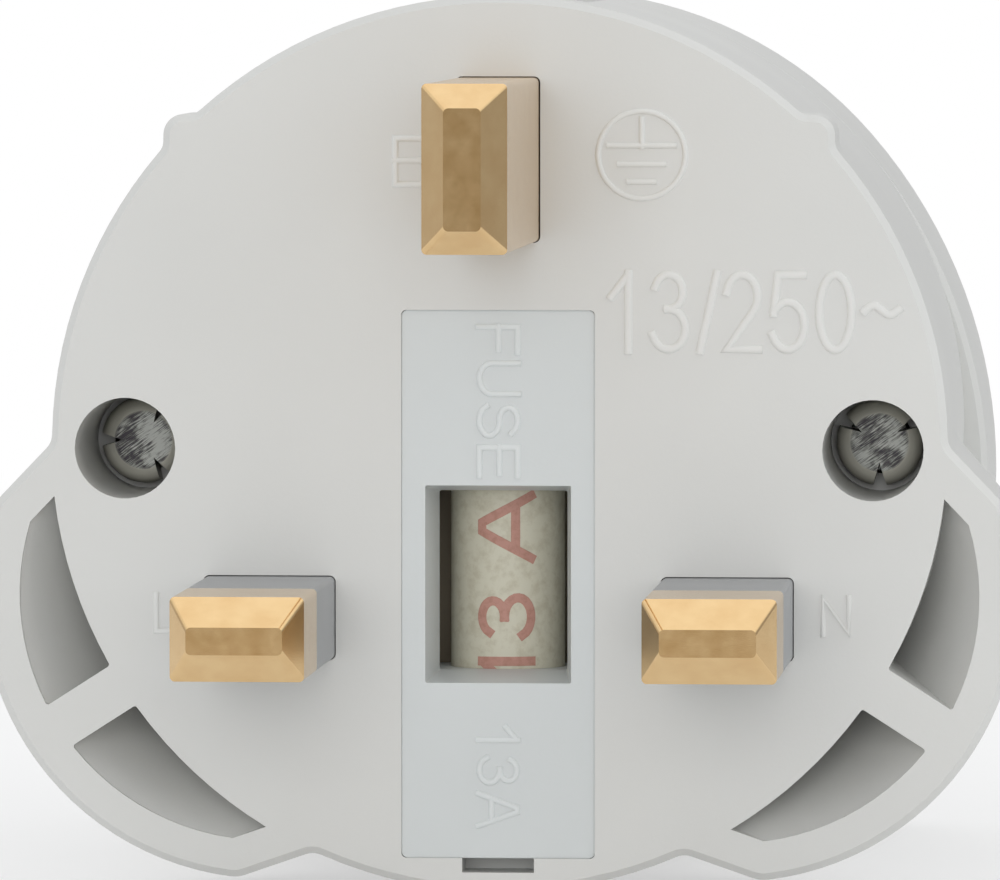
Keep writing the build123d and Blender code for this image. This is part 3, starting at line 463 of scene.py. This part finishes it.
# Nylon moulded over the pins: a dull mid grey.
SLEEVE = moulded_plastic("nylon_sleeve_moulded_grey", "#a4a6a8", "#9c9ea0", roughness=0.45, grain=0.15)
# Acetal: a waxy pale grey, a little darker than the housing behind the contact holes.
SHUTTER = moulded_plastic("acetal_moulded_pale_grey", "#cfcfcc", "#c8c8c5", roughness=0.38, grain=0.2)
# Phenolic: a dull brown cream, slightly uneven.
INSULATOR = moulded_plastic(
    "phenolic_moulded_brown_cream", "#b9ad96", "#a99d87", roughness=0.5, grain=0.3
)
# Polyester with carbon black: a deep satin black that leaves the port dark.
PORT_BLACK = moulded_plastic("polyester_moulded_black", "#1b1b1c", "#141415", roughness=0.4, grain=0.15)
# Epoxy filled with silica: a matt, slightly grey black.
CHIP = moulded_plastic("epoxy_moulded_chip_black", "#222224", "#1a1a1b", roughness=0.55, grain=0.1)
# Solder mask over glass laminate: a deep green with a soft shine.
BOARD = moulded_plastic(
    "glass_laminate_solder_mask_green", "#1f6b3a", "#1a5f33", roughness=0.35, grain=0.4
)
# Wound polyester tape: a clear yellow, smooth and shiny.
TAPE = moulded_plastic("polyester_tape_wound_yellow", "#dcb43a", "#d0a630", roughness=0.3, grain=0.6)
# Shrunk film: a dark blue, smooth and shiny.
FILM = moulded_plastic("shrink_film_dark_blue", "#232a44", "#1c2238", roughness=0.3, grain=0.8)
# Fired ceramic: a cream ground with fine darker specks under a thin dull glaze.
CERAMIC = speckled("ceramic_fired_cream", "#d9d5c2", "#cbc5b0", roughness=0.42, speck=0.6)
# Ink printed on the ceramic: a thin, faded red brown.
INK = speckled("enamel_ink_printed_red_brown", "#c59486", "#b88778", roughness=0.5, speck=0.3)
# Fired ferrite: a rough charcoal with fine specks.
FERRITE = speckled("ferrite_fired_charcoal", "#3a3a3d", "#2b2b2d", roughness=0.6, speck=0.25)
# Brass machined and tumbled: a soft gold shine with faint clouds, the ends dulled to brown by use.
PIN_BRASS = bright_metal(
    "brass_machined_tumbled", "#e2c393", "#dbb988",
    roughness=0.2, streak=0.06, along="y", patch=1.4, tarnish="#b8935f",
)
# Brass strip as stamped: a yellower shine with rolling lines.
STRIP_BRASS = bright_metal(
    "brass_strip_stamped", "#d9b468", "#c9a257", roughness=0.3, streak=0.08, along="z"
)
# Nickel plate on pressed brass: a warm pale grey shine.
NICKEL = bright_metal(
    "brass_nickel_plated_pressed", "#cfccc5", "#bdb9b0", roughness=0.25, streak=0.08, along="z"
)
# Cold-formed steel under a dull oxide: an olive grey shoulder with painted shade at its rim and a painted
# highlight where it faces forward, and a top scored bright by drivers.
SCREW_STEEL = worn_and_shaded_screw_steel(
    "steel_cold_formed_worn_painted_shading", "#85837a", "#eceade", "#5f5b61", "#9a9b95", "#dfe1dc"
)
# Tin plate on folded sheet: a cool pale grey, a soft mirror.
SHEET_STEEL = bright_metal(
    "steel_sheet_tin_plated_folded", "#c9c9ca", "#b9b9bb", roughness=0.28, streak=0.08, along="y"
)
# Drawn spring wire: a mid grey with a dull sheen.
SPRING_STEEL = bright_metal(
    "steel_spring_wire_drawn", "#a9a9ac", "#97979a", roughness=0.3, streak=0.08, along="z"
)
# A flash of gold plate: a clear warm yellow, smooth.
GOLD = bright_metal("gold_flash_plated", "#e8c46a", "#dcb65a", roughness=0.2, streak=0.05, along="z")

FINISHES = {
    "housing": HOUSING,
    "carrier_white": CARRIER,
    "pin_brass": PIN_BRASS,
    "pin_sleeve": SLEEVE,
    "fuse_ceramic": CERAMIC,
    "fuse_cap": NICKEL,
    "contact_brass": STRIP_BRASS,
    "earth_spring": NICKEL,
    "insulator": INSULATOR,
    "shutter_grey": SHUTTER,
    "spring_steel": SPRING_STEEL,
    "screw_steel": SCREW_STEEL,
    "port_steel": SHEET_STEEL,
    "port_black": PORT_BLACK,
    "port_gold": GOLD,
    "circuit_board": BOARD,
    "ferrite": FERRITE,
    "coil_tape": TAPE,
    "capacitor_sleeve": FILM,
    "chip_black": CHIP,
}


def wear_finish(piece, material):
    """Gives a piece one material all over."""
    piece.data.materials.clear()
    piece.data.materials.append(material)


def soften_edges(piece, width):
    """Rounds a piece's sharp edges so that they catch the light."""
    rounding = piece.modifiers.new("edge_rounding", "BEVEL")
    rounding.width = width * MM
    rounding.segments = SOFT_EDGE_SEGMENTS
    rounding.limit_method = "ANGLE"
    rounding.angle_limit = math.radians(SOFT_EDGE_ANGLE)
    rounding.harden_normals = True


for subpart in frame["record"]["subparts"]:
    wear_finish(frame["nodes"][subpart["node"]], FINISHES[subpart["material_slot"]])
for name, width in SOFT_EDGES.items():
    soften_edges(frame["nodes"][name], width)


def arc(cx, cy, rx, ry, start, end, steps=16):
    """Points along part of an ellipse, from one angle to another in degrees."""
    turns = [math.radians(start + (end - start) * i / steps) for i in range(steps + 1)]
    return [(cx + rx * math.cos(t), cy + ry * math.sin(t)) for t in turns]


# Plain single-line characters one unit high: room taken along the line, then the paths of the pen.
CHARACTERS = {
    "1": (0.5, [[(0, 0.72), (0.25, 0.95)], [(0.3, 1), (0.3, 0)]]),
    "2": (0.58, [arc(0.29, 0.71, 0.29, 0.29, 165, -40) + [(0, 0), (0.58, 0)]]),
    "3": (0.62, [arc(0.29, 0.77, 0.26, 0.23, 160, -90), arc(0.29, 0.27, 0.31, 0.27, 90, -160)]),
    "5": (0.62, [[(0.56, 1), (0.12, 1), (0.04, 0.5)], arc(0.3, 0.32, 0.31, 0.32, 140, -155)]),
    "0": (0.6, [arc(0.3, 0.5, 0.3, 0.5, 90, 450, 32)]),
    "/": (0.22, [[(0, 0), (0.3, 1)]]),
    "~": (0.6, [[(0.6 * i / 16, 0.53 + 0.06 * math.sin(math.pi * i / 8)) for i in range(17)]]),
    "A": (0.78, [[(0, 0), (0.335, 1), (0.445, 1), (0.78, 0)], [(0.2, 0.32), (0.58, 0.32)]]),
    "E": (0.6, [[(0.6, 1), (0, 1), (0, 0), (0.6, 0)], [(0, 0.52), (0.55, 0.52)]]),
    "F": (0.54, [[(0.54, 1), (0, 1), (0, 0)], [(0, 0.5), (0.48, 0.5)]]),
    "L": (0.52, [[(0, 1), (0, 0), (0.52, 0)]]),
    "N": (0.68, [[(0, 0), (0, 1), (0.68, 0), (0.68, 1)]]),
    "S": (0.66, [arc(0.33, 0.76, 0.29, 0.24, 25, 262) + arc(0.33, 0.265, 0.33, 0.265, 82, -160)]),
    "U": (0.68, [[(0, 1)] + arc(0.34, 0.33, 0.34, 0.33, 180, 360) + [(0.68, 1)]]),
}
CHARACTER_GAP = 0.26


def written(text, width, height, stroke):
    """The pen's paths for a text that fills a box about the origin, stroke included."""
    paths, start = [], 0
    for character in text:
        room, strokes = CHARACTERS[character]
        paths += [[(start + x, y) for x, y in path] for path in strokes]
        start += room + CHARACTER_GAP
    xs = [x for path in paths for x, y in path]
    middle = (min(xs) + max(xs)) / 2
    stretch = (width - stroke) / (max(xs) - min(xs))
    return [[((x - middle) * stretch, (y - 0.5) * (height - stroke)) for x, y in path] for path in paths]


def ridge_mesh(name, paths, stroke, section):
    """A closed mesh of lines of one width along paths in X and Y, whose half section stands along Z."""
    rows = [*section, *[(-across, up) for across, up in reversed(section)]]
    count = len(rows)
    verts, faces = [], []
    for number, path in enumerate(paths):
        first = len(verts)
        points = [Vector(p) for p in path]
        closed = (points[0] - points[-1]).length < SAME_POINT
        for i, point in enumerate(points):
            before = points[i - 1] if i else points[-2] if closed else point
            after = points[i + 1] if i + 1 < len(points) else points[1] if closed else point
            runs = [run.normalized() for run in (point - before, after - point) if run.length > SAME_POINT]
            ahead = sum(runs, Vector((0, 0))).normalized()
            mitre = 1 / max(1 / MITRE_LIMIT, ahead.dot(runs[0]))
            side = Vector((-ahead.y, ahead.x)) * stroke * mitre
            ends = 0 if closed else (i + 1 == len(points)) - (i == 0)
            tip = point + ahead * ends * stroke / 2
            verts += [(*(tip + side * across), up + number * PATH_STEP) for across, up in rows]
        for i in range(len(points) - 1):
            low = first + i * count
            faces += [(low + j, low + count + j, low + count + j + 1, low + j + 1) for j in range(count - 1)]
        if not closed:
            ends = verts[first : first + count], verts[: -count - 1 : -1]
            for end in ends:
                faces.append(tuple(range(len(verts), len(verts) + count)))
                verts += end
        # The underside has its own corners, so that it doesn't bend the shading of the flanks.
        keel = len(verts)
        for i in range(len(points)):
            low = first + i * count
            verts += [verts[low], verts[low + count - 1]]
        for low in range(keel, len(verts) - 2, 2):
            faces.append((low, low + 1, low + 3, low + 2))
    mesh = bpy.data.meshes.new(name)
    mesh.from_pydata(verts, [], faces)
    mesh.shade_smooth()
    return mesh


def stand_on_face(mesh, x, z, face_y, turn):
    """Places a mesh drawn in X and Y, in millimetres, on a face towards -Y; turn is clockwise, in degrees."""
    upright = Matrix(((1, 0, 0, 0), (0, 0, -1, 0), (0, 1, 0, 0), (0, 0, 0, 1)))
    spin = Matrix.Rotation(math.radians(-turn), 4, "Z")
    place = Matrix.Translation((x * MM, face_y, z * MM))
    mesh.transform(place @ Matrix.Scale(MM, 4) @ upright @ spin)


def add_piece(name, mesh, material, body):
    """Adds a mesh as a piece that moves with a body and wears one material."""
    piece = bpy.data.objects.new(name, mesh)
    bpy.context.scene.collection.objects.link(piece)
    wear_finish(piece, material)
    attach(piece, body)
    return piece


def raised_mark(name, text, box, face_y, turn, material, body):
    """Raised lettering that fills a box on a face."""
    left, right, low, high, stroke = box
    across, up = right - left, high - low
    width, height = (up, across) if turn else (across, up)
    mesh = ridge_mesh(name, written(text, width, height, stroke), stroke, MARK_SECTION)
    stand_on_face(mesh, (left + right) / 2, (low + high) / 2, face_y, turn)
    add_piece(name, mesh, material, body)


def face_marks():
    """The marks round the pins, in the housing's plastic."""
    for number, (text, box) in enumerate(FACE_MARKS.items()):
        raised_mark(f"face_mark_{number}", text, box, FACE_Y, 0, HOUSING_MARK_PAINTED_LIGHTER, "body")


def carrier_marks():
    """The marks above and below the carrier's window, which slide out with it."""
    for number, (text, box) in enumerate(CARRIER_MARKS.items()):
        raised_mark(
            f"carrier_mark_{number}", text, box, CARRIER_Y, CARRIER_MARK_TURN,
            CARRIER_MARK_PAINTED_LIGHTER, "fuse_drawer",
        )


def earth_sign():
    """The protective earth sign: a ring round a stem and three bars of falling width."""
    half = EARTH_SIGN_LINE / 2
    middle_r = EARTH_SIGN_R - half
    high, low = EARTH_SIGN_STEM
    paths = [arc(0, 0, middle_r, middle_r, 0, 360, EARTH_SIGN_STEPS), [(0, low), (0, high - half)]]
    paths += [[(half - width / 2, height), (width / 2 - half, height)] for height, width in EARTH_SIGN_BARS]
    mesh = ridge_mesh("mark_earth_sign", paths, EARTH_SIGN_LINE, MARK_SECTION)
    stand_on_face(mesh, *EARTH_SIGN_CENTRE, FACE_Y, 0)
    add_piece("mark_earth_sign", mesh, HOUSING_MARK_PAINTED_LIGHTER, "body")


def fine_path(path):
    """A path with points added so that it can be bent."""
    points = [Vector(p) for p in path]
    fine = [points[0]]
    for a, b in zip(points, points[1:]):
        steps = max(1, math.ceil((b - a).length / PRINT_STEP))
        fine += [a.lerp(b, i / steps) for i in range(1, steps + 1)]
    return fine


def fuse_print():
    """The rating printed up the fuse tube, wrapped round it."""
    low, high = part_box("fuse_tube")
    axis = (low + high) / 2 / MM
    radius = (high.x - low.x) / 2 / MM
    left, right = [radius * math.asin(x / radius) for x in (PRINT_LEFT, PRINT_RIGHT)]
    for character, (bottom, top) in FUSE_PRINT.items():
        paths = written(character, top - bottom, right - left, PRINT_STROKE)
        mesh = ridge_mesh("print_" + character, [fine_path(p) for p in paths], PRINT_STROKE, PRINT_SECTION)
        for vert in mesh.vertices:
            along, up, lift = vert.co
            turn = ((left + right) / 2 - up) / radius
            reach = radius + lift
            place = (reach * math.sin(turn), axis.y - reach * math.cos(turn), (bottom + top) / 2 + along)
            vert.co = Vector(place) * MM
        add_piece("print_" + character, mesh, INK, "fuse_drawer")


def carrier_rim():
    """The thin mould line round the carrier's edge, which all but closes the gap to its well."""
    low, high = [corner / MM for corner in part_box("fuse_carrier")]
    left, right = low.x + RIM_CORNER_R, high.x - RIM_CORNER_R
    bottom, top = low.z + RIM_CORNER_R, high.z - RIM_CORNER_R
    corners = ((right, top), (left, top), (left, bottom), (right, bottom))
    front, back = [low.y + depth for depth in RIM_DEPTHS]
    section = ((-RIM_SINK, front), (RIM_REACH, front), (RIM_REACH, back), (-RIM_SINK, back))
    verts, faces = [], []
    for reach, y in section:
        radius = RIM_CORNER_R + reach
        for quarter, (x, z) in enumerate(corners):
            bend = arc(x, z, radius, radius, 90 * quarter, 90 * quarter + 90, RIM_CORNER_STEPS)
            verts += [Vector((px, y, pz)) * MM for px, pz in bend]
    count = len(verts) // len(section)
    for row in range(len(section)):
        near = row * count
        far = (row + 1) % len(section) * count
        for i in range(count):
            after = (i + 1) % count
            faces.append((near + i, far + i, far + after, near + after))
    mesh = bpy.data.meshes.new("carrier_rim")
    mesh.from_pydata(verts, [], faces)
    add_piece("carrier_rim", mesh, CARRIER, "fuse_drawer")


def shutter_coil():
    """The shutter's coil spring in round wire, put in place of the part's own spring, which is hidden."""
    low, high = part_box("shutter_spring")
    wire = SPRING_WIRE_R * MM
    foot = Vector(((low.x + high.x) / 2, (low.y + high.y) / 2, low.z + wire))
    radius = (high.x - low.x) / 2 - wire
    rise = Vector((0, 0, high.z - low.z - 2 * wire))
    upward = rise.normalized()
    steps = SPRING_TURNS * SPRING_TURN_STEPS
    sides = SPRING_WIRE_SIDES
    verts, faces = [], []
    for i in range(steps + 1):
        turn = math.tau * i / SPRING_TURN_STEPS
        outward = Vector((math.cos(turn), math.sin(turn), 0))
        centre = foot + outward * radius + rise * i / steps
        for j in range(sides):
            around = math.tau * j / sides
            verts.append(centre + (outward * math.cos(around) + upward * math.sin(around)) * wire)
    for i in range(steps):
        for j in range(sides):
            across = (j + 1) % sides
            faces.append([(i + a) * sides + b for a, b in ((0, j), (1, j), (1, across), (0, across))])
    faces.append(list(range(sides)))
    faces.append([steps * sides + j for j in reversed(range(sides))])
    mesh = bpy.data.meshes.new("shutter_coil")
    mesh.from_pydata(verts, [], faces)
    mesh.shade_smooth()
    coil = add_piece("shutter_coil", mesh, SPRING_STEEL, "body")
    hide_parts("shutter_spring")
    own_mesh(coil)


face_marks()
carrier_marks()
earth_sign()
fuse_print()
carrier_rim()
shutter_coil()


def add_lamp(name, place, aim, size, power, mirrored):
    """A soft square lamp aimed at a point, mirrored in polished metal or not."""
    light = bpy.data.lights.new(name, "AREA")
    light.size = size
    light.energy = power
    lamp = bpy.data.objects.new(name, light)
    lamp.location = place
    lamp.rotation_euler = (Vector(aim) - Vector(place)).to_track_quat("-Z", "Y").to_euler()
    lamp.visible_camera = False
    lamp.visible_glossy = mirrored
    bpy.context.scene.collection.objects.link(lamp)


def sight_rays(tree):
    """One for rays that show the background: from the camera, or by way of metal or glass."""
    path = add_node(tree, "ShaderNodeLightPath").outputs
    shiny = add_node(
        tree, "ShaderNodeMath", {0: path["Is Camera Ray"], 1: path["Is Glossy Ray"]}, operation="MAXIMUM"
    )
    seen = add_node(
        tree, "ShaderNodeMath", {0: shiny.outputs[0], 1: path["Is Transmission Ray"]}, operation="MAXIMUM"
    )
    return seen.outputs[0]


def pale_floor():
    """A plain matt floor that fades to white away from the part and keeps its shadow near it."""
    material, tree, place, out = new_material("floor_matt_white")
    matt = add_node(tree, "ShaderNodeBsdfDiffuse", {"Color": linear("#f4f4f4")})
    white = add_node(tree, "ShaderNodeEmission", {"Color": WHITE, "Strength": 1.0})
    away = add_node(tree, "ShaderNodeVectorMath", {0: place}, operation="LENGTH")
    near, far = FLOOR_FADE
    least, most = FLOOR_WHITE
    fade = add_node(
        tree, "ShaderNodeMapRange",
        {
            "Value": away.outputs["Value"],
            "From Min": near,
            "From Max": far,
            "To Min": least,
            "To Max": most,
        },
    )
    share = add_node(
        tree, "ShaderNodeMath", {0: fade.outputs["Result"], 1: sight_rays(tree)}, operation="MULTIPLY"
    )
    mix = add_node(
        tree, "ShaderNodeMixShader", {0: share.outputs[0], 1: matt.outputs[0], 2: white.outputs[0]}
    )
    tree.links.new(mix.outputs[0], out.inputs["Surface"])
    return material


def grey_wall():
    """A low grey studio wall that shows only in polished metal: a little darker on the right."""
    material, tree, place, out = new_material("studio_wall_grey")
    side = add_node(tree, "ShaderNodeSeparateXYZ", {0: place})
    left, right = WALL_GLOW
    level = add_node(
        tree, "ShaderNodeMapRange",
        {
            "Value": side.outputs["X"],
            "From Min": -WALL_R,
            "From Max": WALL_R,
            "To Min": left,
            "To Max": right,
        },
    )
    glow = add_node(tree, "ShaderNodeEmission", {"Color": WHITE, "Strength": level.outputs["Result"]})
    tree.links.new(glow.outputs[0], out.inputs["Surface"])
    return material


def add_stage(name, verts, faces, material):
    """Adds a sheet of the studio, which isn't part of the adapter."""
    mesh = bpy.data.meshes.new(name)
    mesh.from_pydata(verts, [], faces)
    sheet = bpy.data.objects.new(name, mesh)
    bpy.context.scene.collection.objects.link(sheet)
    wear_finish(sheet, material)
    return sheet


def studio_floor():
    """The floor under the adapter's foot."""
    corners = ((-1, -1), (1, -1), (1, 1), (-1, 1))
    verts = [(i * FLOOR_REACH, j * FLOOR_REACH, FLOOR_Z) for i, j in corners]
    add_stage("floor", verts, [(0, 1, 2, 3)], pale_floor())


def studio_wall():
    """The wall round the adapter, seen by way of polished metal alone."""
    ring = arc(0, 0, WALL_R, WALL_R, 0, 360, WALL_STEPS)
    verts = [(x, y, z) for x, y in ring for z in (FLOOR_Z, WALL_TOP)]
    faces = [(2 * i, 2 * i + 2, 2 * i + 3, 2 * i + 1) for i in range(WALL_STEPS)]
    wall = add_stage("studio_wall", verts, faces, grey_wall())
    wall.visible_camera = False
    wall.visible_diffuse = False
    wall.visible_transmission = False
    wall.visible_shadow = False


def studio_world():
    """Even soft light from all round, and plain white behind."""
    world = bpy.data.worlds.new("studio")
    world.use_nodes = True
    tree = world.node_tree
    tree.nodes.clear()
    soft = add_node(tree, "ShaderNodeBackground", {"Color": linear("#f4f6f8"), "Strength": WORLD_LIGHT})
    bare = add_node(tree, "ShaderNodeBackground", {"Color": WHITE, "Strength": 1.0})
    sky = add_node(
        tree, "ShaderNodeMixShader", {0: sight_rays(tree), 1: soft.outputs[0], 2: bare.outputs[0]}
    )
    add_node(tree, "ShaderNodeOutputWorld", {"Surface": sky.outputs[0]})
    bpy.context.scene.world = world


def photo_camera():
    """The camera at the photograph's place."""
    lens = bpy.data.cameras.new("camera")
    lens.sensor_width = SENSOR_WIDTH
    lens.sensor_fit = "HORIZONTAL"
    lens.lens = SENSOR_WIDTH * (CAMERA_AIM - CAMERA_PLACE).length / (SEEN_WIDTH * MM)
    lens.clip_start = CLIP_NEAR
    lens.clip_end = CLIP_FAR
    camera = bpy.data.objects.new("camera", lens)
    camera.location = CAMERA_PLACE
    camera.rotation_euler = (CAMERA_AIM - CAMERA_PLACE).to_track_quat("-Z", "Y").to_euler()
    bpy.context.scene.collection.objects.link(camera)
    bpy.context.scene.camera = camera


for name, settings in LAMPS.items():
    add_lamp(name, *settings)
studio_floor()
studio_wall()
studio_world()
photo_camera()
bpy.context.scene.view_settings.view_transform = "Standard"
